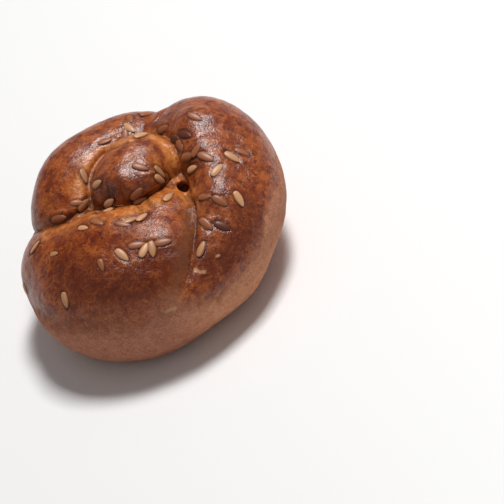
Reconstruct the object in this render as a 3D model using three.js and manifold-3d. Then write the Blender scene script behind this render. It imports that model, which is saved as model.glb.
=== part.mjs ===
// A small knotted bread roll: one rope of dough tied in a knot, proofed and baked into a single piece.
// Millimetres, +Z up. The origin is the middle of the flat base that the roll was baked on.
// The long right arm lies over the left arm at the back, the left arm meets the front lobe at the left,
// the front lobe lies over the right arm at the front with its edge in the crease between them, and the
// rope's end is the button in the middle. The lower side is fused into one smooth bun.

import * as THREE from "three";
import { mergeVertices } from "three/addons/utils/BufferGeometryUtils.js";
import Module from "manifold-3d";

// Driving dimensions.
const BASE_RADIUS = 21; // flat of the base
const BUN_RADIUS = 32.5; // widest part of the fused lower side
const BUN_WIDEST_Z = 14; // height of that widest part
const BUN_TOP_Z = 28; // top of the dough under the knot
const BUN_SHOULDER = 0.75; // below 1 the shoulder above the widest part is fuller than an ellipse
const BUN_AT = [-1.5, 0.3]; // middle of the lower side under the knot
const TALLEST = 60; // taller than anything on the roll

// Steps of the rounded surfaces.
const STEPS_AROUND = 30;
const STEPS_ALONG = 30;
const STEPS_ON_END = 6;
const BUN_STEPS_AROUND = 60;
const BUN_STEPS_UP = 7;
const LOBE_STEPS_AROUND = 48;
const LOBE_STEPS_UP = 24;
const PIT_STEPS_AROUND = 14;
const PIT_STEPS_UP = 10;

// Each arm of the knot: stations along the middle of the rope as [x, y, z, radius].
const RIGHT_ARM = [
  [-6, -19, 12, 11.5],
  [9, -16, 13.3, 13],
  [20, -6.5, 16.5, 13],
  [23, 5, 20, 13],
  [19.5, 14.5, 23.5, 12.5],
  [13, 18.5, 23, 10.5],
];
const LEFT_ARM = [
  [14, 17, 17, 11],
  [6, 22.5, 21, 11.5],
  [-4, 23, 22.5, 11.5],
  [-12, 19.5, 22.5, 12],
  [-16.5, 12.5, 21, 11.5],
  [-17.5, 6, 18.5, 10],
];
const LOBE_EDGE = [
  [4.5, -7.5, 18, 11.5],
  [1, -13.5, 16.5, 13.5],
  [-4, -18, 14.5, 13.5],
];
const LEFT_TURN = [
  [-16.3, -8, 13.8, 15.4],
  [-22, 0, 14.2, 14.2],
  [-21.5, 8, 12.5, 11.5],
];
const BUTTON = [
  [7.5, 9.7, 26, 8.5],
  [2.4, 8.3, 28.2, 9.5],
  [-2, 6.2, 27.4, 8.8],
];

// The fat front lobe, where the rope lies widest: an egg of dough, turned on its base by degrees.
const FRONT_LOBE = { at: [-11.5, -10.5, 12.5], length: 51, width: 40, height: 38, turn: 150 };

// The pit where the arms meet.
const PIT = { at: [11.5, -2.5, 28], width: 4, depth: 9 };

const wasm = await Module();
wasm.setup();

// A closed three.js geometry as a solid for joining and cutting.
function solidOf(geometry) {
  const bare = geometry.clone();
  bare.deleteAttribute("normal");
  bare.deleteAttribute("uv");
  const merged = mergeVertices(bare, 1e-4);
  return new wasm.Manifold(
    new wasm.Mesh({
      numProp: 3,
      vertProperties: new Float32Array(merged.attributes.position.array),
      triVerts: new Uint32Array(merged.index.array),
    }),
  );
}

// A solid back as a three.js geometry.
function geometryOf(solid) {
  const mesh = solid.getMesh();
  const geometry = new THREE.BufferGeometry();
  geometry.setAttribute("position", new THREE.BufferAttribute(mesh.vertProperties, 3));
  geometry.setIndex(new THREE.BufferAttribute(mesh.triVerts, 1));
  geometry.computeVertexNormals();
  return geometry;
}

// A rope of dough: a capsule bent along its stations, as thick as they say, with round ends.
function doughRope(stations) {
  const route = new THREE.CatmullRomCurve3(stations.map(([x, y, z]) => new THREE.Vector3(x, y, z)));
  const girth = new THREE.SplineCurve(stations.map(([, , , radius], i) => new THREE.Vector2(i, radius)));
  const firstRadius = stations[0][3];
  const lastRadius = stations.at(-1)[3];
  const endRadius = (firstRadius + lastRadius) / 2;
  const length = route.getLength() + firstRadius + lastRadius;
  const rope = new THREE.CapsuleGeometry(
    endRadius,
    length - 2 * endRadius,
    STEPS_ON_END,
    STEPS_AROUND,
    STEPS_ALONG,
  );
  const up = new THREE.Vector3(0, 0, 1);
  const spots = rope.attributes.position;
  const spot = new THREE.Vector3();
  for (let i = 0; i < spots.count; i++) {
    spot.fromBufferAttribute(spots, i);
    const along = spot.y + length / 2 - firstRadius;
    const u = THREE.MathUtils.clamp(along / route.getLength(), 0, 1);
    const t = route.getUtoTmapping(u);
    const beyond = along - u * route.getLength();
    const forward = route.getTangent(t);
    const aside = new THREE.Vector3().crossVectors(forward, up).normalize();
    const above = new THREE.Vector3().crossVectors(aside, forward);
    const radius = girth.getPoint(t).y / endRadius;
    const placed = route.getPoint(t);
    placed.addScaledVector(forward, beyond);
    placed.addScaledVector(aside, spot.x * radius);
    placed.addScaledVector(above, spot.z * radius);
    spots.setXYZ(i, placed.x, placed.y, placed.z);
  }
  return solidOf(rope);
}

// A lobe of dough: a ball stretched to its length, width and height.
function doughLobe({ at, length, width, height, turn }) {
  const ball = new THREE.SphereGeometry(1, LOBE_STEPS_AROUND, LOBE_STEPS_UP).rotateX(Math.PI / 2);
  const lobe = ball.scale(length / 2, width / 2, height / 2).rotateZ(THREE.MathUtils.degToRad(turn));
  return solidOf(lobe.translate(...at));
}

// The fused lower part: a round bun with a flat base, turned about the upright axis.
function bun() {
  const profile = [new THREE.Vector2(0, 0)];
  const corner = BUN_RADIUS - BASE_RADIUS;
  for (let i = 0; i <= BUN_STEPS_UP; i++) {
    const angle = (i / BUN_STEPS_UP) * (Math.PI / 2);
    const x = BASE_RADIUS + corner * Math.sin(angle);
    const z = BUN_WIDEST_Z * (1 - Math.cos(angle));
    profile.push(new THREE.Vector2(x, z));
  }
  for (let i = 1; i <= BUN_STEPS_UP; i++) {
    const angle = (i / BUN_STEPS_UP) * (Math.PI / 2);
    const x = i < BUN_STEPS_UP ? BUN_RADIUS * Math.cos(angle) ** BUN_SHOULDER : 0;
    const z = BUN_WIDEST_Z + (BUN_TOP_Z - BUN_WIDEST_Z) * Math.sin(angle);
    profile.push(new THREE.Vector2(x, z));
  }
  const turned = new THREE.LatheGeometry(profile, BUN_STEPS_AROUND).rotateX(Math.PI / 2);
  return solidOf(turned.translate(...BUN_AT, 0));
}

// The pit between the arms: a pointed drop that is cut out of the crust.
function pit() {
  const ball = new THREE.SphereGeometry(1, PIT_STEPS_AROUND, PIT_STEPS_UP);
  const drop = ball.scale(PIT.width / 2, PIT.width / 2, PIT.depth / 2);
  return solidOf(drop.translate(...PIT.at));
}

// Everything above the baking sheet.
function aboveTheSheet() {
  const box = new THREE.BoxGeometry(4 * TALLEST, 4 * TALLEST, TALLEST).translate(0, 0, TALLEST / 2);
  return solidOf(box);
}

const ropes = [RIGHT_ARM, LEFT_ARM, LOBE_EDGE, LEFT_TURN, BUTTON].map(doughRope);
const knot = ropes.reduce((whole, rope) => whole.add(rope), doughLobe(FRONT_LOBE));
const roll = bun().add(knot).subtract(pit()).intersect(aboveTheSheet());

// The origin goes to the middle of the roll's footprint.
const shape = geometryOf(roll);
shape.computeBoundingBox();
const middle = shape.boundingBox.getCenter(new THREE.Vector3());
shape.translate(-middle.x, -middle.y, 0);

const crust = new THREE.MeshStandardMaterial({ color: 0x8a4520, roughness: 0.4, metalness: 0 });
const mesh = new THREE.Mesh(shape, crust);
mesh.name = "roll";

const group = new THREE.Group();
group.add(mesh);
export default group;
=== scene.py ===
# %% [markdown]
# This lesson gives a small knotted bread roll its looks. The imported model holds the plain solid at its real
# size. Here that solid becomes a fine skin of dough with creases and dents, gets its seeds and its glazed
# crust, and is shown with a camera, a floor and soft light.

import math

import bmesh
import bpy
import numpy as np
from mathutils import Matrix, Vector, kdtree, noise
from mathutils.bvhtree import BVHTree


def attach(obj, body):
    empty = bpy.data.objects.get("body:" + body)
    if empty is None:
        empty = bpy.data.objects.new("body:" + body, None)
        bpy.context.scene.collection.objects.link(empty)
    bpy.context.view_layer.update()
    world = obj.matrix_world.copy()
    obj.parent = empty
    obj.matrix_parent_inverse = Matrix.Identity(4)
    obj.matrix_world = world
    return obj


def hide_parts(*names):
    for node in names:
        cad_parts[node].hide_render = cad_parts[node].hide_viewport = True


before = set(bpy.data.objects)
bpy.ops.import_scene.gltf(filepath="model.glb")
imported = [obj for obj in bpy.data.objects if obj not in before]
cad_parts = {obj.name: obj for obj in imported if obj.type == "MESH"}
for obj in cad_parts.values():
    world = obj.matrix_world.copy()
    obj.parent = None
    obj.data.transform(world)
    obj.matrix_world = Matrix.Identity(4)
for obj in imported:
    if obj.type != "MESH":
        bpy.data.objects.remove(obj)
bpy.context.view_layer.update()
scene = bpy.context.scene
MM = 0.001

# %% [markdown]
# The camera comes first, because some details are placed by where they show in the picture. The roll in the
# picture leans on its side, and here it sits flat, so the camera rolls by the same angle instead. Its axes
# are built by hand from two angles, so that the same three vectors can also turn a pixel into a ray.

# %% Camera
PICTURE_SIDE = 504
LENS = 120
SENSOR = 36
VIEW_ELEVATION = math.radians(42)
VIEW_ROLL = math.radians(24)
VIEW_DISTANCE = 420 * MM
NEAREST_SHOWN = 10 * MM
AIM_POINT = Vector((0, -1.3, 20)) * MM
AIM_PIXEL = (149, 219.5)

to_eye = Vector((0, -math.cos(VIEW_ELEVATION), math.sin(VIEW_ELEVATION)))
level = Vector((1, 0, 0))
upright = to_eye.cross(level)
picture_right = level * math.cos(VIEW_ROLL) - upright * math.sin(VIEW_ROLL)
picture_up = level * math.sin(VIEW_ROLL) + upright * math.cos(VIEW_ROLL)
pixel = VIEW_DISTANCE * SENSOR / (LENS * PICTURE_SIDE)


def across_picture(x, y):
    """The way from the middle of the picture to a pixel, at the distance of the roll."""
    middle = PICTURE_SIDE / 2
    return picture_right * (x - middle) * pixel + picture_up * (middle - y) * pixel


eye = AIM_POINT - across_picture(*AIM_PIXEL) + to_eye * VIEW_DISTANCE
camera = bpy.data.objects.new("camera", bpy.data.cameras.new("camera"))
camera.data.lens = LENS
camera.data.sensor_width = SENSOR
camera.data.clip_start = NEAREST_SHOWN
camera.matrix_world = Matrix((picture_right, picture_up, to_eye)).transposed().to_4x4()
camera.location = eye
scene.collection.objects.link(camera)
scene.camera = camera
print("one pixel is", round(pixel / MM, 3), "mm on the roll")

# %% [markdown]
# The skin of the dough. The solid has facets of two or three millimetres and bare corners where its ropes
# meet. Subdividing would keep its uneven faces, so a voxel remesh turns it into an even net of small faces
# instead, fine enough to be shaped by moving its points.

# %% An even net over the solid
NET_STEP = 0.42 * MM


def even_net(node, name):
    """A new object with the solid of a node as an even net of small faces."""
    dough = bpy.data.objects.new(name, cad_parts[node].data.copy())
    scene.collection.objects.link(dough)
    remesh = dough.modifiers.new("even net", "REMESH")
    remesh.mode = "VOXEL"
    remesh.voxel_size = NET_STEP
    remeshed = dough.evaluated_get(bpy.context.evaluated_depsgraph_get())
    dough.data = bpy.data.meshes.new_from_object(remeshed)
    dough.modifiers.clear()
    return dough


crust = even_net("roll", "roll_crust")
crust.data.shade_smooth()
points = np.empty(3 * len(crust.data.vertices))
crust.data.vertices.foreach_get("co", points)
points = points.reshape(-1, 3)
pairs = np.empty(2 * len(crust.data.edges), int)
crust.data.edges.foreach_get("vertices", pairs)
pairs = pairs.reshape(-1, 2)
print(len(points), "points and", len(crust.data.polygons), "faces in the net")

# %% [markdown]
# Proofed dough is round everywhere except in its creases, so the creases are found first. A crease is an
# inner corner of the solid that folds sharply enough. The low side of a roll fuses in the oven, so corners
# down there don't count. A search tree then tells every point of the skin how far the nearest crease is.

# %% Find the creases of the solid
# Degrees of fold: no crease yet at the first, a full one at the second.
CREASE_FOLD = (35, 60)
FUSED_HEIGHT = (10 * MM, 18 * MM)
CREASE_STEP = 0.3 * MM
WELD = 0.001 * MM


def ramp(value, low, high):
    """Goes smoothly from 0 at low to 1 at high."""
    share = np.clip((value - low) / (high - low), 0, 1)
    return share * share * (3 - 2 * share)


def solid_creases(node):
    """Places along the inner corners of a node, each with how much of a crease it is."""
    net = bmesh.new()
    net.from_mesh(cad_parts[node].data)
    bmesh.ops.remove_doubles(net, verts=net.verts, dist=WELD)
    places = []
    strengths = []
    for edge in net.edges:
        fold = -math.degrees(edge.calc_face_angle_signed(0))
        strength = ramp(fold, *CREASE_FOLD)
        if strength > 0:
            start, end = (corner.co for corner in edge.verts)
            steps = max(1, round(edge.calc_length() / CREASE_STEP))
            for step in range(steps + 1):
                place = start.lerp(end, step / steps)
                places.append(place)
                strengths.append(strength * ramp(place.z, *FUSED_HEIGHT))
    net.free()
    return places, np.array(strengths)


def nearest(places):
    """For each point of the skin, how far the nearest of some places is and which one it is."""
    tree = kdtree.KDTree(len(places))
    for index, place in enumerate(places):
        tree.insert(place, index)
    tree.balance()
    found = [tree.find(point) for point in points]
    return np.array([row[2] for row in found]), np.array([row[1] for row in found])


crease_places, crease_strengths = solid_creases("roll")
crease_distance, crease_index = nearest(crease_places)
crease_strength = crease_strengths[crease_index]
print(len(crease_places), "crease points, strongest", round(float(crease_strengths.max()), 2))

# %% [markdown]
# Now the dough is rounded. A smooth modifier would melt the creases too. So each point moves towards the
# middle of its neighbours by plain arithmetic, many times over, and the points near a crease hold nearly
# still. The low side gets more rounds, because the ropes have fused there.

# %% Round the dough between its creases
HELD = 0.9
HELD_REACH = (0.4 * MM, 3.5 * MM)
PULL = 0.5
ROUNDS = 90
FUSED_ROUNDS = 260


def knead(dough, softness, rounds):
    """Moves every point towards the middle of its neighbours, as far as its softness lets it."""
    first, second = pairs.T
    total = len(dough)
    neighbours = np.bincount(pairs.ravel(), minlength=total)
    for _ in range(rounds):
        middles = np.empty_like(dough)
        for axis in range(3):
            ahead = np.bincount(first, dough[second, axis], total)
            behind = np.bincount(second, dough[first, axis], total)
            middles[:, axis] = (ahead + behind) / neighbours
        dough = dough + PULL * softness[:, None] * (middles - dough)
    return dough


softness = 1 - HELD * crease_strength * (1 - ramp(crease_distance, *HELD_REACH))
points = knead(points, softness, ROUNDS)
points = knead(points, softness * (1 - ramp(points[:, 2], *FUSED_HEIGHT)), FUSED_ROUNDS)
print("rounded roll is", np.round(np.ptp(points, axis=0) / MM, 1), "mm")

# %% [markdown]
# Rounding takes a little off the dough, so it is filled out again along its normals, apart from the base and
# the creases. The same call that sets the skin's points also gives the normals, which every later push needs.

# %% Fill the dough out again
FILL = 0.4 * MM
CREASE_SHOULDER = 3 * MM
BASE_CORNER = 4 * MM


def skin_normals():
    """Sets the skin to the present points and gives the normal at each."""
    crust.data.vertices.foreach_set("co", points.ravel())
    crust.data.update()
    normals = np.empty(points.size)
    crust.data.vertex_normals.foreach_get("vector", normals)
    return normals.reshape(-1, 3)


off_base = ramp(points[:, 2], 0, BASE_CORNER)
fill = FILL * off_base * ramp(crease_distance, 0, CREASE_SHOULDER)
points = points + skin_normals() * fill[:, None]
print("filled roll is", np.round(np.ptp(points, axis=0) / MM, 1), "mm")

# %% [markdown]
# Dough rises unevenly. Three sizes of noise push the skin in and out: slow swells over the arms, lumps of a
# few millimetres, and the small puckers of a crust that dried before it stopped rising. Blender's noise
# depends only on the place, so the roll comes out the same each time.

# %% Swells, lumps and puckers
UNEVENNESS = {
    "swells": {"size": 15 * MM, "height": 0.45 * MM},
    "lumps": {"size": 5 * MM, "height": 0.16 * MM},
    "puckers": {"size": 1.9 * MM, "height": 0.07 * MM},
}


def noise_on_skin(size, shift=0):
    """Noise from about -1 to 1 at every point, with features of a size."""
    away = Vector((shift, shift, shift))
    return np.array([noise.noise(Vector(point) / size + away) for point in points])


rise = sum(kind["height"] * noise_on_skin(kind["size"]) for kind in UNEVENNESS.values())
points = points + skin_normals() * (rise * off_base)[:, None]
print("unevenness from", round(rise.min() / MM, 2), "to", round(rise.max() / MM, 2), "mm")

# %% [markdown]
# Bulges, creases, seeds and bands of colour all have their place in the picture. So a few helpers turn pixels
# into places: a ray from the eye through a pixel hits the skin, and a line of pixels becomes a row of hits.
# A band then says how near each point of the skin is to such a line: 1 on it, and softly down to 0 beside it.

# %% Lines on the skin
NUDGE = 0.02


def see_skin():
    """The skin as it is now, for casting rays at it."""
    skin_normals()
    bpy.context.view_layer.update()
    return BVHTree.FromObject(crust, bpy.context.evaluated_depsgraph_get())


def on_skin(x, y):
    """The place on the skin that shows at a pixel and its normal. A pixel just off the roll moves onto it."""
    place = None
    while place is None:
        way = across_picture(x, y) - to_eye * VIEW_DISTANCE
        place, normal, _, _ = skin.ray_cast(eye, way.normalized())
        x += (AIM_PIXEL[0] - x) * NUDGE
        y += (AIM_PIXEL[1] - y) * NUDGE
    return place, normal


def trace(pixels):
    """Places on the skin along a line through pixels, a pixel apart, each with its share of the way."""
    places = []
    for (x0, y0), (x1, y1) in zip(pixels, pixels[1:]):
        steps = max(1, round(math.hypot(x1 - x0, y1 - y0)))
        for step in range(steps):
            place, _ = on_skin(x0 + (x1 - x0) * step / steps, y0 + (y1 - y0) * step / steps)
            places.append(place)
    return places, np.linspace(0, 1, len(places))


def band(line):
    """A soft band on the skin along a line of pixels, with its width in millimetres."""
    places, _ = trace(line["pixels"])
    distance, _ = nearest(places)
    return np.exp(-((distance / (line["width"] * MM)) ** 2))


skin = see_skin()
print("the middle of the roll shows at", [round(axis / MM, 1) for axis in on_skin(*AIM_PIXEL)[0]], "mm")

# %% [markdown]
# The arms aren't round tubes: here and there the dough bulged as it rose, and in one place it sank. These
# slopes decide where the glaze shines, so each was set by where a highlight shows. A bulge is a band that is
# pushed out along the normals, or in where its height is below zero. Widths and heights are in millimetres.

# %% Bulges
BULGES = {
    "crest of the right arm": {
        "pixels": [(206, 154), (211, 172), (218, 190)],
        "width": 5.5,
        "height": 2.4,
    },
    "upper crest of the right arm": {
        "pixels": [(191, 121), (202, 119), (214, 118)],
        "width": 4,
        "height": 0.8,
    },
    "inner side of the right arm": {
        "pixels": [(190, 122), (191, 138), (195, 152)],
        "width": 4.5,
        "height": 1.1,
    },
    "outer side of the right arm": {
        "pixels": [(232, 118), (238, 145), (241, 172)],
        "width": 6,
        "height": -0.6,
    },
    "crown of the button": {
        "pixels": [(122, 182), (134, 184), (145, 180)],
        "width": 4.5,
        "height": 2.6,
    },
    "shoulder of the front lobe": {
        "pixels": [(96, 225), (120, 221), (143, 216)],
        "width": 7,
        "height": 1.4,
    },
}
bulge = sum(line["height"] * MM * band(line) for line in BULGES.values())
points = points + skin_normals() * bulge[:, None]
skin = see_skin()
print("bulges from", round(bulge.min() / MM, 2), "to", round(bulge.max() / MM, 2), "mm")

# %% [markdown]
# The creases in the picture are deeper than two balls of dough that touch, because the skin tore a little as
# it rose, and it has fine wrinkles. Each is a line through a few pixels, with depths along it in millimetres.
# The skin near the line is pressed in, with a sharp bottom and soft shoulders. The solid's own creases get a
# light press too, so that those that don't show look alike.

# %% Press the creases in
CREASES = {
    "left arm over front lobe": {
        "pixels": [(95, 209), (87, 206), (80, 211), (72, 216), (64, 221), (57, 224), (49, 227), (36, 231)],
        "depth": (1.2, 1.5, 1.2, 0.8),
        "width": 0.55,
    },
    "button over front lobe": {
        "pixels": [(95, 209), (105, 209), (116, 207), (127, 204), (138, 202), (150, 194), (160, 187)],
        "depth": (1.3, 1.2, 1.0, 0.5),
        "width": 0.55,
    },
    "button inside left arm": {
        "pixels": [
            (93, 207), (90, 195), (89, 182), (91, 170), (99, 158), (108, 150), (122, 143), (140, 137),
            (150, 137),
        ],
        "depth": (0.9, 0.7, 0.9, 0.9, 0.5),
        "width": 0.6,
    },
    "button beside right arm": {
        "pixels": [(150, 137), (162, 143), (171, 150), (174, 158), (173, 168), (179, 180)],
        "depth": (0.2, 0.5, 0.4, 0.8),
        "width": 1.2,
    },
    "front lobe over right arm": {
        "pixels": [
            (180, 184), (186, 193), (192, 204), (194, 218), (194, 235), (193, 252), (190, 270), (183, 290),
            (175, 306),
        ],
        "depth": (2.2, 1.9, 1.7, 1.2, 0.7, 0.3),
        "width": 0.65,
    },
    "long wrinkle on the left arm": {
        "pixels": [(88, 152), (104, 139), (122, 130), (140, 124)],
        "depth": (0.1, 0.3, 0.3, 0.1),
        "width": 0.35,
    },
    "upper wrinkle on the left arm": {
        "pixels": [(98, 130), (116, 121), (136, 116)],
        "depth": (0.05, 0.25, 0.05),
        "width": 0.35,
    },
    "low wrinkle on the left arm": {
        "pixels": [(70, 186), (73, 172), (82, 158)],
        "depth": (0.05, 0.25, 0.05),
        "width": 0.4,
    },
    "right arm over left arm": {
        "pixels": [(164, 109), (158, 116), (152, 124), (147, 132)],
        "depth": (1.0, 0.8, 0.6),
        "width": 0.8,
    },
}
HIDDEN_CREASE_DEPTH = 0.7 * MM
HIDDEN_CREASE_WIDTH = 0.6 * MM


def press(line):
    """How far a crease presses the skin in at every point."""
    places, shares = trace(line["pixels"])
    distance, index = nearest(places)
    along = np.linspace(0, 1, len(line["depth"]))
    depth = np.interp(shares[index], along, line["depth"]) * MM
    return depth * np.exp(-distance / (line["width"] * MM))


pressed = np.max([press(line) for line in CREASES.values()], axis=0)
hidden_crease = HIDDEN_CREASE_DEPTH * crease_strength * np.exp(-crease_distance / HIDDEN_CREASE_WIDTH)
pressed = np.maximum(pressed, hidden_crease)
points = points - skin_normals() * pressed[:, None]
print("creases up to", round(pressed.max() / MM, 2), "mm deep")

# %% [markdown]
# Some places sank: the hollow end of the rope, the pit where the arms meet, and pocks where bubbles broke.
# A sculpting brush would do it by hand. Here each is a soft round dip about the place that shows at a pixel,
# with its radius and depth in millimetres. Nothing may sink below the base.

# %% Dents in the dough
DENTS = {
    "hollow end of the button": {"pixel": (108, 195), "radius": 3.2, "depth": 1.2},
    "pit between the arms": {"pixel": (184, 188), "radius": 1.2, "depth": 1.4},
    "dark spot on the button": {"pixel": (122, 193), "radius": 1.6, "depth": 0.4},
    "dimple on the left arm": {"pixel": (60, 197), "radius": 1.1, "depth": 0.25},
    "pock on the front lobe": {"pixel": (54, 268), "radius": 1.2, "depth": 0.4},
    "pock near the left edge": {"pixel": (39, 311), "radius": 0.9, "depth": 0.4},
    "low pock": {"pixel": (81, 320), "radius": 0.9, "depth": 0.35},
}
skin = see_skin()
dented = np.zeros(len(points))
for dent in DENTS.values():
    place, _ = on_skin(*dent["pixel"])
    distance = np.linalg.norm(points - np.array(place), axis=1)
    dented += dent["depth"] * MM * np.exp(-((distance / (dent["radius"] * MM)) ** 2))
points = points - skin_normals() * dented[:, None]
points[:, 2] = np.maximum(points[:, 2], 0)
skin = see_skin()
print("dents up to", round(dented.max() / MM, 2), "mm deep")

# %% [markdown]
# A baker brushes egg wash over the top, and it runs out in an uneven edge on the side. Above the edge the
# crust turns brown and glossy; below it, the dough stays pale and dull. The edge is a height that changes
# round the roll, with noise so that it wanders. The mask is a number on each point, as it follows the shape.

# %% Where the egg wash ends
# Values at some angles round the roll, in degrees from +X: heights and softness in millimetres.
WASH_EDGE = {
    -180: 15, -143: 18.5, -119: 20, -94: 20, -84: 17, -74: 14, -57: 15.5, -43: 18, -28: 21.5, 0: 22, 40: 20,
    90: 15, 140: 13,
}
WASH_SOFTNESS = {-180: 8, -143: 10, -119: 11, -94: 10, -80: 4, -65: 1.8, 0: 2.2, 90: 3.5, 140: 5}
PALENESS = {-180: 0, -100: 0, -80: 1, -50: 1, -30: 0.3, 120: 0.3}
WANDERS = {
    "long runs": {"size": 7 * MM, "height": 1.8 * MM, "shift": 3},
    "short runs": {"size": 2 * MM, "height": 1.0 * MM, "shift": 5},
}


def round_the_roll(table):
    """Values given at some angles round the roll, at every point."""
    angle = np.degrees(np.arctan2(points[:, 1], points[:, 0]))
    return np.interp(angle, list(table), list(table.values()), period=360)


wander = sum(run["height"] * noise_on_skin(run["size"], run["shift"]) for run in WANDERS.values())
wash_edge = round_the_roll(WASH_EDGE) * MM + wander
half_soft = round_the_roll(WASH_SOFTNESS) * MM / 2
paleness = round_the_roll(PALENESS)
wash = ramp(points[:, 2], wash_edge - half_soft, wash_edge + half_soft)
print("egg wash on", round(100 * wash.mean()), "% of the skin")

# %% [markdown]
# Sesame seeds lie where they fell before baking. A particle system would scatter them anywhere, so the ones
# that show are listed one by one: by pixel, by the angle of the tip in the picture, by how they toasted, and
# by size where one is small or large. Each lies in the plane of the skin below it.

# %% Seeds that show
TAN, GLAZED, DARK = 0.0, 0.5, 1.0
SHOWN_SEEDS = [
    (195, 117, -25, GLAZED), (185, 135, -20, DARK), (175, 139, -20, DARK), (180, 146, -60, GLAZED),
    (196, 150, 60, GLAZED), (206, 157, -25, GLAZED, 1.1), (187, 157, 10, GLAZED, 1.15),
    (192, 169, 20, TAN, 1.1),
    (217, 170, 50, TAN), (232, 157, -33, TAN), (242, 152, -25, GLAZED), (140, 167, -15, GLAZED),
    (160, 172, -45, TAN), (160, 179, -25, TAN), (167, 183, -60, GLAZED), (97, 184, 30, TAN),
    (137, 194, 45, GLAZED), (141, 201, 20, TAN), (168, 197, 50, TAN), (109, 203, 35, TAN),
    (109, 210, 30, TAN), (99, 212, 30, GLAZED), (220, 201, -30, GLAZED), (204, 197, 5, GLAZED),
    (239, 199, -60, TAN), (206, 224, -40, GLAZED), (222, 226, -20, DARK), (142, 217, 42, TAN),
    (130, 220, 20, TAN), (123, 224, -10, GLAZED), (97, 222, -20, GLAZED), (163, 242, 12, GLAZED),
    (163, 129, 25, GLAZED), (141, 135, 20, TAN), (147, 114, 8, GLAZED), (130, 119, -60, GLAZED),
    (129, 128, -35, TAN), (105, 141, 20, GLAZED), (125, 136, 90, GLAZED), (77, 203, 5, GLAZED, 0.8),
    (84, 205, 50, TAN), (59, 219, 12, GLAZED), (83, 228, 0, TAN, 0.8), (84, 176, -70, TAN),
    (35, 247, 55, TAN), (54, 254, 10, TAN, 0.7), (26, 290, -65, TAN), (65, 300, -75, TAN, 0.92),
    (101, 265, -70, GLAZED, 0.75), (122, 255, -40, TAN), (144, 250, 65, TAN), (152, 249, -80, TAN),
    (137, 245, 10, GLAZED), (201, 249, 70, TAN),
]


def seen_seed(x, y, tip_angle, toast, size=1):
    """Where a seed lies, its normal, the way to its tip, its toast and its size."""
    place, normal = on_skin(x, y)
    angle = math.radians(tip_angle)
    way = picture_right * math.cos(angle) + picture_up * math.sin(angle)
    tip = way - to_eye * (way.dot(normal) / to_eye.dot(normal))
    return place, normal, tip.normalized(), toast, size


seeds = [seen_seed(*row) for row in SHOWN_SEEDS]
print(len(seeds), "seeds show")

# %% [markdown]
# The far side has seeds too, and nobody can say where. So they are drawn by chance from the points of the
# glazed skin that turns away from the camera, and a draw is dropped when another seed is too close. The
# numbers of chance start at the same place each time, so the roll stays the same.

# %% Seeds out of the picture's sight
HIDDEN_TRIES = 900
HIDDEN_WASH = 0.97
HIDDEN_SPACING = 5 * MM
HIDDEN_TURN = -0.2
HIDDEN_TOASTS = [TAN, TAN, TAN, GLAZED, DARK]
CHANCE_START = 7
chance = np.random.default_rng(CHANCE_START)


def scatter_hidden(tries):
    """Seeds on the upper skin that the camera doesn't see, none too close to another."""
    normals = skin_normals()
    taken = [place for place, *_ in seeds]
    made = []
    for index in chance.integers(len(points), size=tries):
        place = Vector(points[index])
        normal = Vector(normals[index])
        toast = chance.choice(HIDDEN_TOASTS)
        aside = normal.orthogonal().normalized()
        tip = Matrix.Rotation(chance.uniform(0, 2 * math.pi), 3, normal) @ aside
        clear = min((place - other).length for other in taken) > HIDDEN_SPACING
        turned_away = normal.dot(to_eye) < HIDDEN_TURN
        if wash[index] > HIDDEN_WASH and turned_away and clear:
            taken.append(place)
            made.append((place, normal, tip, toast, 1))
    return made


seeds += scatter_hidden(HIDDEN_TRIES)
print(len(seeds), "seeds in all")

# %% [markdown]
# A sesame seed is a flat drop with one pointed end. It could be a scaled ball, but the ball has no point. So
# one seed is a closed net of rings from its blunt end to its tip. Their girth is a sine whose power grows and
# whose height shrinks towards the tip. Its rim is a number on each corner, for a darker edge later.

# %% Shape of one seed
SEED_LENGTH = 4.1 * MM
SEED_WIDTH = 2.0 * MM
SEED_THICKNESS = 0.85 * MM
SEED_RINGS = 14
SEED_SIDES = 16
OUTLINE_POWER = 1.05
POWER_TO_TIP = 0.6
TAPER_TO_TIP = 0.35


def seed_corners():
    """The corners of one seed, tip along X and flat along Z, and how near its rim each one is."""
    corners = [(-SEED_LENGTH / 2, 0, 0)]
    rim = [1]
    for ring in range(1, SEED_RINGS):
        turn = math.pi * ring / SEED_RINGS
        along = -math.cos(turn) / 2
        girth = math.sin(turn) ** (OUTLINE_POWER + POWER_TO_TIP * along) * (1 - TAPER_TO_TIP * along)
        for side in range(SEED_SIDES):
            angle = 2 * math.pi * side / SEED_SIDES
            wide = SEED_WIDTH / 2 * girth * math.cos(angle)
            high = SEED_THICKNESS / 2 * girth * math.sin(angle)
            corners.append((SEED_LENGTH * along, wide, high))
            rim.append(abs(math.cos(angle)))
    corners.append((SEED_LENGTH / 2, 0, 0))
    rim.append(1)
    return np.array(corners), np.array(rim)


def seed_faces():
    """The faces between the rings of one seed, and to its two ends."""
    tip = 1 + (SEED_RINGS - 1) * SEED_SIDES
    last = tip - SEED_SIDES
    faces = []
    for side in range(SEED_SIDES):
        beside = (side + 1) % SEED_SIDES
        faces.append((0, 1 + beside, 1 + side))
        faces.append((tip, last + side, last + beside))
        for ring in range(SEED_RINGS - 2):
            near = 1 + ring * SEED_SIDES
            far = near + SEED_SIDES
            faces.append((near + side, near + beside, far + beside, far + side))
    return faces


seed_net, seed_rim = seed_corners()
print("a seed is", np.round(np.ptp(seed_net, axis=0) / MM, 2), "mm")

# %% [markdown]
# All the seeds are one piece, so one seed is copied to every place into a single mesh. Each copy sinks a
# little into the skin, rolls to one side and differs in size, as real seeds do. Its toast, a shade of its own
# and its rim go onto its points for the material to read.

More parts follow.
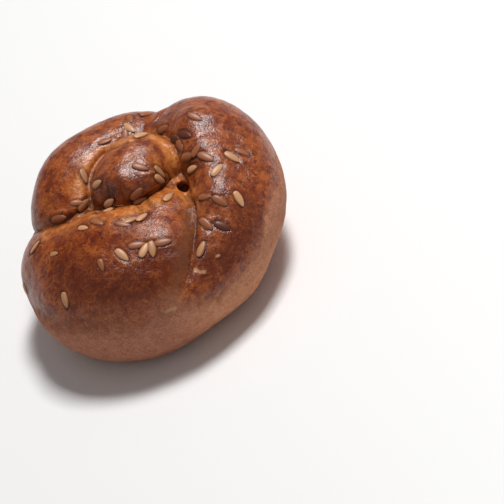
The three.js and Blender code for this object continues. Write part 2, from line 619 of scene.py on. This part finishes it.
# %% Lay the seeds
SUNK = {TAN: 0.25 * MM, GLAZED: 0.28 * MM, DARK: 0.28 * MM}
SEED_RISE = SEED_THICKNESS / 4
SIZE_SPREAD = (0.92, 1.08)
ROLL_SPREAD = 0.12


def lay_seeds(name):
    """All the seeds as one joined mesh, with how toasted each is, a shade of its own and its rim."""
    net_faces = seed_faces()
    corners = []
    faces = []
    toasts = []
    shades = []
    for place, normal, tip, toast, size in seeds:
        across = normal.cross(tip)
        size *= chance.uniform(*SIZE_SPREAD)
        roll = chance.normal(0, ROLL_SPREAD)
        tilted = normal * math.cos(roll) + across * math.sin(roll)
        axes = np.array((tip, tilted.cross(tip), tilted))
        base = np.array(place - normal * (SUNK[toast] - SEED_RISE))
        first = len(corners) * len(seed_net)
        faces += [tuple(first + corner for corner in face) for face in net_faces]
        corners.append(base + size * seed_net @ axes)
        toasts.append(np.full(len(seed_net), toast))
        shades.append(np.full(len(seed_net), chance.uniform()))
    mesh = bpy.data.meshes.new(name)
    mesh.from_pydata(np.concatenate(corners).tolist(), [], faces)
    mesh.shade_smooth()
    rims = [seed_rim] * len(seeds)
    for attribute, values in (("toast", toasts), ("shade", shades), ("rim", rims)):
        layer = mesh.attributes.new(attribute, "FLOAT", "POINT")
        layer.data.foreach_set("value", np.concatenate(values))
    piece = bpy.data.objects.new(name, mesh)
    scene.collection.objects.link(piece)
    return piece


sesame = lay_seeds("sesame_seeds")
print(len(sesame.data.polygons), "faces on the seeds")

# %% [markdown]
# Each seed has a bed. The wet glaze climbed up its side and baked into a low ridge, right beside the seed
# there is a fine gap, and some seeds are half covered. The ridge and the gap are real relief, and a mask of
# the gap goes to the crust's colour later, darker partly for glaze that scorched there and partly as painted
# shade in the gap. Distances count in half seeds from a seed's middle.

# %% Beds for the seeds
RIDGE = {"height": 0.07 * MM, "middle": 1.6, "width": 0.4}
GAP = {"depth": 0.15 * MM, "middle": 1.05, "width": 0.22}
SCORCH_AND_SHADE_RING = {"middle": 1.12, "width": 0.25}
COVER = 0.2 * MM
BED_REACH = 6 * MM


def ring_at(out, ring):
    """A soft ring round a seed."""
    return np.exp(-(((out - ring["middle"]) / ring["width"]) ** 2))


def beds():
    """How far the seeds lift the skin, and where beside them it darkens: scorch and painted shade."""
    lift = np.zeros(len(points))
    scorch_and_shade = np.zeros(len(points))
    for place, normal, tip, toast, size in seeds:
        offset = points - np.array(place)
        near = np.linalg.norm(offset, axis=1) < BED_REACH
        along = offset[near] @ np.array(tip) / (size * SEED_LENGTH / 2)
        across = offset[near] @ np.array(normal.cross(tip)) / (size * SEED_WIDTH / 2)
        out = np.sqrt(along**2 + across**2)
        cover = COVER * np.exp(-(out**4)) * (toast == GLAZED)
        lift[near] += RIDGE["height"] * ring_at(out, RIDGE) - GAP["depth"] * ring_at(out, GAP) + cover
        # The ring beside each seed is darkened later, partly as scorched glaze and partly as painted shade.
        scorch_and_shade[near] = np.maximum(scorch_and_shade[near], ring_at(out, SCORCH_AND_SHADE_RING))
    return lift, scorch_and_shade


lift, scorch_and_shade = beds()
points = points + skin_normals() * lift[:, None]
points[:, 2] = np.maximum(points[:, 2], 0)
skin = see_skin()
print("seed beds from", round(lift.min() / MM, 2), "to", round(lift.max() / MM, 2), "mm")

# %% [markdown]
# Skin that was hidden in the creases until late stays golden, and the bottom of a crease is darkened as
# painted shade. Painting it by hand would do, but a band along a line in the picture is easier to correct,
# and where bands meet the strongest counts. Widths are in millimetres. The solid's own creases get both by
# distance, so that those that don't show have them too.

# %% Golden skin and painted shade in the creases
GOLDEN_BANDS = {
    "inside of the left arm": {
        "pixels": [
            (78, 203), (78, 188), (83, 172), (91, 160), (102, 151), (116, 143), (131, 137), (146, 134),
        ],
        "width": 2.6,
        "strength": 0.72,
    },
    "valley beside the button": {
        "pixels": [(153, 136), (165, 146), (171, 157), (170, 168), (176, 178)],
        "width": 2.2,
        "strength": 1.0,
    },
    "top of the front lobe": {
        "pixels": [(118, 212), (130, 210), (146, 205), (162, 197), (178, 190), (190, 203)],
        "width": 3.0,
        "strength": 0.85,
    },
    "right side of the button": {
        "pixels": [(151, 148), (158, 162), (156, 176)],
        "width": 2.5,
        "strength": 0.45,
    },
    "wall of the pit": {
        "pixels": [(190, 183), (192, 188), (194, 194)],
        "width": 1.2,
        "strength": 0.8,
    },
    "right arm below the pit": {
        "pixels": [(198, 203), (201, 214), (202, 224)],
        "width": 2.0,
        "strength": 0.5,
    },
    "front lobe below the left arm": {
        "pixels": [(107, 214), (88, 213), (77, 221), (63, 227), (48, 233)],
        "width": 4.0,
        "strength": 0.65,
    },
}
GOLDEN_EDGE = {"strength": 0.7, "width": 1.6}
CREASE_SHADE = {"strength": 0.8, "width": 0.7}
CREASE_SHADE_DEPTH = (0.5 * MM, 1.3 * MM)


def strongest(bands):
    """The strongest of some bands at every point."""
    return np.max([line["strength"] * band(line) for line in bands.values()], axis=0)


def beside_creases(edge):
    """A soft edge along the creases of the solid."""
    return edge["strength"] * crease_strength * np.exp(-((crease_distance / (edge["width"] * MM)) ** 2))


golden = np.maximum(strongest(GOLDEN_BANDS), beside_creases(GOLDEN_EDGE))
# The crease mask is painted shade at the bottoms of the creases, darker where deeper, and later less gloss.
crease = np.maximum(ramp(pressed, *CREASE_SHADE_DEPTH), beside_creases(CREASE_SHADE))
print("golden skin on", round(100 * golden.mean(), 1), "% of the roll")

# %% [markdown]
# The browned bands darken the crust. On the fronts of the front lobe and the right arm and in the hollow of
# the button, which turn away from the light, this darkening is painted shade; the other two bands darken the
# top of the front lobe and the side of the left arm. In places the egg wash was brushed on too thinly to
# shine. Both are bands again, because both follow the arms of the knot.

# %% Browned skin with painted shade, and thin egg wash
BROWNED_AND_SHADED_BANDS = {
    "front of the front lobe": {
        "pixels": [(62, 268), (90, 280), (120, 288), (150, 278), (172, 258)],
        "width": 7,
        "strength": 0.95,
    },
    "front of the right arm": {
        "pixels": [(208, 268), (228, 255), (248, 228), (254, 208)],
        "width": 5,
        "strength": 0.8,
    },
    "top of the front lobe": {"pixels": [(70, 246), (105, 242), (138, 238)], "width": 5.5, "strength": 0.5},
    "side of the left arm": {"pixels": [(47, 172), (50, 198)], "width": 4, "strength": 0.5},
    "hollow of the button": {"pixels": [(104, 197), (112, 198)], "width": 2.0, "strength": 0.6},
}
THIN_BANDS = {
    "top of the front lobe": {
        "pixels": [(56, 252), (85, 243), (108, 240), (130, 239)],
        "width": 6,
        "strength": 1.0,
    },
    "inside of the left arm": {"pixels": [(66, 202), (68, 185), (76, 170)], "width": 3.2, "strength": 1.0},
    "side of the left arm": {"pixels": [(50, 170), (52, 192)], "width": 4, "strength": 0.6},
    "right of the front lobe": {"pixels": [(152, 256), (166, 278)], "width": 5, "strength": 0.9},
    "right end of the front lobe": {"pixels": [(174, 218), (176, 242)], "width": 3, "strength": 0.9},
    "shoulder of the front lobe": {"pixels": [(134, 221), (140, 236)], "width": 2.5, "strength": 0.7},
}
# Darker skin: painted shade on the lobe fronts and in the button's hollow, elsewhere the skin's own browning.
browned_and_shaded = strongest(BROWNED_AND_SHADED_BANDS)
thin = strongest(THIN_BANDS)
print("browned skin on", round(100 * browned_and_shaded.mean(), 1), "% of the roll")

# %% [markdown]
# The edge of the front lobe was stretched and stayed dull, and the skin tore in a few spots, where the pale
# crumb shows; one pale fleck on the right arm is a painted glint. With these all masks are there, and each
# goes onto the points of the skin under its name.

# %% Dull neck, tears and a painted glint, and the masks on the skin
NECK_BANDS = {
    "edge of the front lobe": {
        "pixels": [(189, 212), (187, 232), (185, 250), (181, 268), (174, 288), (168, 298)],
        "width": 2.0,
        "strength": 0.9,
    },
}
TEARS_AND_GLINT = {
    "tear below the lobe": {"pixels": [(166, 312), (171, 309), (176, 308)], "width": 0.6, "strength": 1},
    "tear on the right arm": {"pixels": [(195, 270), (200, 272), (205, 272)], "width": 0.65, "strength": 1},
    "painted glint on the right arm": {"pixels": [(217, 256), (220, 255)], "width": 0.45, "strength": 1},
}
masks = {
    "wash": wash,
    "paleness": paleness,
    "golden": golden,
    "browned_and_shaded": browned_and_shaded,
    "thin": thin,
    "torn_and_glint": strongest(TEARS_AND_GLINT),
    "neck": strongest(NECK_BANDS),
    "scorch_and_shade": scorch_and_shade,
    "crease": crease,
}
for name, values in masks.items():
    layer = crust.data.attributes.new(name, "FLOAT", "POINT")
    layer.data.foreach_set("value", values)
print(len(masks), "masks on the skin")

# %% [markdown]
# Materials are sums of simple masks, so the shader maths is written as Python. A small class wraps a node's
# socket, and its operators add Math nodes. Linking the nodes one by one would make the same materials in many
# more lines.

# %% Shader maths as Python
class Shade:
    """A value in a material. Operators on it add Math nodes."""

    def __init__(self, finish, socket):
        self.finish = finish
        self.socket = socket

    def math(self, operation, first, second):
        return self.finish.node("ShaderNodeMath", {"operation": operation}, {0: first, 1: second})

    def __add__(self, other):
        return self.math("ADD", self, other)

    def __radd__(self, other):
        return self.math("ADD", other, self)

    def __sub__(self, other):
        return self.math("SUBTRACT", self, other)

    def __rsub__(self, other):
        return self.math("SUBTRACT", other, self)

    def __mul__(self, other):
        return self.math("MULTIPLY", self, other)

    def __rmul__(self, other):
        return self.math("MULTIPLY", other, self)


print("shades take +, - and * from either side")

# %% [markdown]
# A finish is one material. Every node in it comes from one method, which sets the node and gives one of its
# outputs as a shade. The other methods are short names for the few kinds of node that come up again.

# %% A finish and its nodes
class Finish:
    """A material and ways to add nodes to it."""

    def __init__(self, name):
        self.material = bpy.data.materials.new(name)
        self.material.use_nodes = True
        self.tree = self.material.node_tree
        self.tree.nodes.remove(self.tree.nodes["Principled BSDF"])
        self.place = self.node("ShaderNodeTexCoord", output="Object")

    def plug(self, socket, value):
        """Links a value to a socket, or sets the socket to a number or colour."""
        if isinstance(value, Shade):
            self.tree.links.new(value.socket, socket)
        else:
            socket.default_value = value

    def node(self, kind, settings=None, sockets=None, output=0):
        """Adds a node: its settings first, then its sockets. Gives one of its outputs."""
        made = self.tree.nodes.new(kind)
        for name, value in (settings or {}).items():
            setattr(made, name, value)
        for name, value in (sockets or {}).items():
            self.plug(made.inputs[name], value)
        return Shade(self, made.outputs[output])

    def mask(self, name):
        """A mask on the points of the mesh."""
        return self.node("ShaderNodeAttribute", {"attribute_name": name}, output="Fac")

    def noise(self, size, detail=3, roughness=0.55, distortion=0):
        """Noise from 0 to 1 with features of a size."""
        sockets = {"Vector": self.place, "Scale": 1 / size, "Detail": detail, "Roughness": roughness}
        sockets["Distortion"] = distortion
        return self.node("ShaderNodeTexNoise", sockets=sockets)

    def step(self, value, low, high):
        """Goes smoothly from 0 at low to 1 at high."""
        sockets = {"Value": value, "From Min": low, "From Max": high}
        return self.node("ShaderNodeMapRange", {"interpolation_type": "SMOOTHSTEP"}, sockets)

    def mix(self, share, first, second):
        """Goes from the first colour to the second with the share."""
        return self.node("ShaderNodeMix", {"data_type": "RGBA"}, {0: share, 6: first, 7: second}, output=2)

    def bump(self, strength, distance, height):
        """Normals of a fine relief."""
        sockets = {"Strength": strength, "Distance": distance, "Height": height}
        return self.node("ShaderNodeBump", sockets=sockets, output="Normal")

    def surface(self, **sockets):
        """A shader with some of its sockets set."""
        named = {name.replace("_", " "): value for name, value in sockets.items()}
        return self.node("ShaderNodeBsdfPrincipled", sockets=named)

    def wear(self, piece, surface):
        """Puts the finish on a piece."""
        self.plug(self.tree.nodes["Material Output"].inputs["Surface"], surface)
        piece.data.materials.clear()
        piece.data.materials.append(self.material)


def colour(red, green, blue):
    """A colour as a shader takes it, from the 0 to 255 values that a screen shows."""
    shown = np.array((red, green, blue)) / 255
    linear = np.where(shown <= 0.04045, shown / 12.92, ((shown + 0.055) / 1.055) ** 2.4)
    return (*linear.tolist(), 1)


print("a mid chestnut is", np.round(colour(150, 80, 40), 3))

# %% [markdown]
# The crust is marbled, because egg wash dries in puddles of one to three millimetres before it browns, and
# light veins run between some of them. A picture of bread would repeat and stretch. So the marbling is noise
# in the roll's own coordinates, in four sizes, and the veins are the edges of cells.

# %% Marbling of the crust
PATCH_SIZE = 3.2 * MM
MARBLE_SIZE = 2.0 * MM
MOTTLE_SIZE = 1.3 * MM
SPECKLE_SIZE = 0.45 * MM
CELL_SIZE = 2.6 * MM
NOISE_MIDDLE = 0.5
VEIN_WANDER = 0.3
VEIN_WIDTH = (0.0, 0.08)
VEINED_PATCHES = (0.48, 0.62)

baked = Finish("baked_crust")
mask = {name: baked.mask(name) for name in masks}
patches = baked.noise(PATCH_SIZE, detail=2)
marble = baked.noise(MARBLE_SIZE, detail=5, roughness=0.66, distortion=0.7)
speckle = baked.noise(SPECKLE_SIZE, detail=2)
mottles = baked.noise(MOTTLE_SIZE, detail=3, roughness=0.6, distortion=0.6)
cells = baked.node(
    "ShaderNodeTexVoronoi",
    {"feature": "DISTANCE_TO_EDGE"},
    {"Vector": baked.place, "Scale": 1 / CELL_SIZE},
)
thread = 1 - baked.step(cells + VEIN_WANDER * (marble - NOISE_MIDDLE), *VEIN_WIDTH)
veins = thread * baked.step(patches, *VEINED_PATCHES)
print("the marbling has", len(baked.tree.nodes), "nodes with its masks")

# %% [markdown]
# Under the egg wash the skin is red-brown: patches of two browns, darker in the browned bands, partly as
# browning and partly as painted shade, with amber flecks, dark mottles and amber veins. Golden skin and the
# dull neck lie over that. Each layer mixes one more colour in by a mask, and noise breaks up the edges of the
# darkened and the golden bands.

# %% Skin under the egg wash
DARKEST = colour(88, 29, 10)
DEEP = colour(114, 42, 15)
CHESTNUT = colour(162, 80, 30)
AMBER = colour(188, 100, 40)
GOLD = colour(212, 136, 70)
NECK = colour(122, 72, 46)
PATCH_EDGE = (0.3, 0.7)
FLECK_EDGE = (0.48, 0.66)
MOTTLE_EDGE = (0.5, 0.66)
GRAIN_EDGE = (0.35, 0.65)
BAND_EDGE = (0.15, 0.95)
BREAK_UP = {"browned_and_shaded": 0.5, "golden": 0.7}
SHARE = {"burnt_and_shaded": 0.75, "fleck": 0.85, "mottle": 0.8, "vein": 0.6, "neck": 0.8}
BURNT_AND_SHADED_HIDES = {"fleck": 0.6, "vein": 0.5}
FLECK_MARBLE = 0.6

# This mixes in the browned bands: partly browning, partly painted shade on the fronts and in the hollow.
burnt_and_shaded = baked.step(mask["browned_and_shaded"] + BREAK_UP["browned_and_shaded"] * (patches - NOISE_MIDDLE), *BAND_EDGE)
fleck = baked.step(marble * FLECK_MARBLE + speckle * (1 - FLECK_MARBLE), *FLECK_EDGE)
fleck = fleck * (1 - BURNT_AND_SHADED_HIDES["fleck"] * burnt_and_shaded)
mottle = baked.step(mottles, *MOTTLE_EDGE)
brown = baked.mix(baked.step(patches, *PATCH_EDGE), DEEP, CHESTNUT)
brown = baked.mix(burnt_and_shaded * SHARE["burnt_and_shaded"], brown, DARKEST)
brown = baked.mix(fleck * SHARE["fleck"], brown, AMBER)
brown = baked.mix(mottle * SHARE["mottle"], brown, DARKEST)
brown = baked.mix(veins * (1 - BURNT_AND_SHADED_HIDES["vein"] * burnt_and_shaded) * SHARE["vein"], brown, AMBER)
gold = baked.mix(baked.step(marble, *GRAIN_EDGE), AMBER, GOLD)
gilded = baked.step(mask["golden"] + BREAK_UP["golden"] * (marble - NOISE_MIDDLE), *BAND_EDGE)
brown = baked.mix(gilded, brown, gold)
brown = baked.mix(mask["neck"] * SHARE["neck"], brown, NECK)
print("with the browned skin", len(baked.tree.nodes), "nodes")

# %% [markdown]
# Without egg wash the dough is dull, palest at the front right, with a floury grain. Over both kinds of skin
# lie the marks: the pale crumb in the tears with one painted glint, the gaps beside the seeds, darker partly
# for scorched glaze and partly as painted shade, and the bottoms of the creases, darkened as painted shade.
# They could be pieces of their own, but they are only colour.

# %% Bare skin, marks and painted shade
DULL = colour(190, 130, 104)
DULL_DARK = colour(160, 103, 80)
PALE = colour(206, 146, 112)
PALE_DARK = colour(182, 122, 90)
TORN_AND_GLINT = colour(212, 160, 118)
SCORCH_AND_SHADE_DARK = colour(60, 26, 14)
FLOUR_SPECKLE = 0.5
BARE_MOTTLE = 0.3
TEAR_AND_GLINT_BREAK_UP = 1.2
TEAR_AND_GLINT_EDGE = (0.3, 1)
TEAR_AND_GLINT_SHARE = 0.8
SCORCH_AND_SHADE_SHARE = 0.6
CREASE_SHADE_SHARE = 0.6

flour = baked.step(speckle * FLOUR_SPECKLE + marble * (1 - FLOUR_SPECKLE), *GRAIN_EDGE)
dull = baked.mix(flour, DULL_DARK, DULL)
pale = baked.mix(flour, PALE_DARK, PALE)
bare = baked.mix(mask["paleness"], dull, pale)
bare = baked.mix(mottle * BARE_MOTTLE, bare, CHESTNUT)
skin_colour = baked.mix(mask["wash"], bare, brown)
# The tears show pale crumb; the fleck on the right arm is a painted glint in the same colour.
crumb_and_glint = baked.step(mask["torn_and_glint"] + TEAR_AND_GLINT_BREAK_UP * (marble - NOISE_MIDDLE), *TEAR_AND_GLINT_EDGE)
skin_colour = baked.mix(crumb_and_glint * TEAR_AND_GLINT_SHARE, skin_colour, TORN_AND_GLINT)
# Painted shade: the crease bottoms, and beside the seeds a ring that is partly scorched glaze, partly shade.
scorch_and_crease_shade = mask["scorch_and_shade"] * mask["wash"] * SCORCH_AND_SHADE_SHARE + mask["crease"] * CREASE_SHADE_SHARE
skin_colour = baked.mix(scorch_and_crease_shade, skin_colour, SCORCH_AND_SHADE_DARK)
print("with the bare skin and the marks", len(baked.tree.nodes), "nodes")

# %% [markdown]
# Egg wash dries into a thin glossy film. One shader with a varying roughness leaves a milky veil where the
# film is thin. So the crust is a matt shader and a glossy one, mixed by how much film there is, and a fine
# bump breaks the highlights up.

# %% Film and relief of the crust
FILM_EDGE = (0.35, 1)
FILM_LOSS = {"golden": 0.3, "browned_and_shaded": 0.25, "thin": 0.95, "neck": 0.6, "crease": 0.6}
FILM_LEAST = 0.8
FILM_SWING = 0.4
RELIEF_MARBLE = 0.5
RELIEF_SPECKLE = 0.2
RELIEF_MOTTLES = 0.3
RELIEF_STRENGTH = 0.9
RELIEF_HEIGHT = 0.45 * MM
MATT = {"Roughness": 0.8, "Specular_IOR_Level": 0.15}
GLOSSY = {"Roughness": 0.29, "Specular_IOR_Level": 0.66}

film = baked.step(mask["wash"], *FILM_EDGE)
for name, loss in FILM_LOSS.items():
    film = film * (1 - loss * mask[name])
film = film * (FILM_LEAST + FILM_SWING * patches)
relief = marble * RELIEF_MARBLE + speckle * RELIEF_SPECKLE + mottles * RELIEF_MOTTLES
bump = baked.bump(RELIEF_STRENGTH, RELIEF_HEIGHT, relief)
matt = baked.surface(Base_Color=skin_colour, Normal=bump, **MATT)
glossy = baked.surface(Base_Color=skin_colour, Normal=bump, **GLOSSY)
baked.wear(crust, baked.node("ShaderNodeMixShader", sockets={0: film, 1: matt, 2: glossy}))
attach(crust, "root")
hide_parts("roll")
print("the crust has", len(baked.tree.nodes), "nodes in all")

# %% [markdown]
# Seed coats are straw coloured, those under the glaze took on its brown, and a few burnt. A material for each
# kind would need the seeds in several pieces. Here the toast and the shade on each seed's points choose the
# colour, so one material serves them all, and the rim darkens the thin edge.

# %% Seed coats
STRAW = colour(216, 160, 116)
STRAW_DARK = colour(180, 124, 82)
TOASTED = colour(158, 92, 56)
BURNT = colour(96, 46, 28)
RIM = colour(104, 56, 30)
COAT_GRAIN_SIZE = 0.5 * MM
OWN_SHADE = 0.6
STRAW_EDGE = (0.2, 0.8)
TOASTED_EDGE = (0.1, 0.45)
BURNT_EDGE = (0.6, 0.95)
RIM_BREAK_UP = 0.5
RIM_EDGE = (0.55, 1)
RIM_SHARE = 0.6
COAT_BUMP = 0.25
COAT_RELIEF = 0.1 * MM
COAT_ROUGHNESS = 0.42

coats = Finish("toasted_seeds")
toast = coats.mask("toast")
grain = coats.noise(COAT_GRAIN_SIZE, detail=2)
straw_light = coats.step(coats.mask("shade") * OWN_SHADE + grain * (1 - OWN_SHADE), *STRAW_EDGE)
coat = coats.mix(straw_light, STRAW_DARK, STRAW)
coat = coats.mix(coats.step(toast, *TOASTED_EDGE), coat, TOASTED)
coat = coats.mix(coats.step(toast, *BURNT_EDGE), coat, BURNT)
edge = coats.step(coats.mask("rim") + RIM_BREAK_UP * (grain - NOISE_MIDDLE), *RIM_EDGE)
coat = coats.mix(edge * RIM_SHARE, coat, RIM)
bump = coats.bump(COAT_BUMP, COAT_RELIEF, grain)
coats.wear(sesame, coats.surface(Base_Color=coat, Roughness=COAT_ROUGHNESS, Normal=bump))
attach(sesame, "root")
print("the seed coats have", len(coats.tree.nodes), "nodes")

# %% [markdown]
# The roll needs something to stand on that takes its shadow and throws light back under it. A box would put
# walls into the highlights, so it is one white sheet, much wider than the view. It belongs to the stage and
# not to the roll.

# %% Floor
FLOOR_REACH = 2
PAPER = (0.96, 0.955, 0.95, 1)

floor_mesh = bpy.data.meshes.new("floor")
floor_corners = [
    (-FLOOR_REACH, -FLOOR_REACH, 0),
    (FLOOR_REACH, -FLOOR_REACH, 0),
    (FLOOR_REACH, FLOOR_REACH, 0),
    (-FLOOR_REACH, FLOOR_REACH, 0),
]
floor_mesh.from_pydata(floor_corners, [], [(0, 1, 2, 3)])
floor = bpy.data.objects.new("floor", floor_mesh)
scene.collection.objects.link(floor)
paper = bpy.data.materials.new("paper")
paper.use_nodes = True
paper.node_tree.nodes["Principled BSDF"].inputs["Base Color"].default_value = PAPER
floor_mesh.materials.append(paper)
print("the floor is", 2 * FLOOR_REACH, "m wide")

# %% [markdown]
# One soft box high above, a little to the right and behind, gives the glaze its highlights and the roll its
# soft shadow. A bare lamp would make both hard. The rest is an even white light from all round, and the plain
# view transform keeps the colours as they were chosen.

# %% Light
KEY_WAY = Vector((0.32, 0.24, 0.92)).normalized()
KEY_DISTANCE = 0.9
KEY_SIZE = 0.22
KEY_POWER = 7.5
ROOM_COLOUR = (1, 1, 1, 1)
ROOM_LIGHT = 0.2

key = bpy.data.objects.new("soft_box", bpy.data.lights.new("soft_box", "AREA"))
key.data.shape = "SQUARE"
key.data.size = KEY_SIZE
key.data.energy = KEY_POWER
key.location = AIM_POINT + KEY_WAY * KEY_DISTANCE
key.rotation_euler = KEY_WAY.to_track_quat("Z", "Y").to_euler()
scene.collection.objects.link(key)
world = bpy.data.worlds.new("studio")
scene.world = world
world.use_nodes = True
world.node_tree.nodes["Background"].inputs["Color"].default_value = ROOM_COLOUR
world.node_tree.nodes["Background"].inputs["Strength"].default_value = ROOM_LIGHT
scene.view_settings.view_transform = "Standard"
print("a soft box of", KEY_POWER, "W at", KEY_DISTANCE, "m")
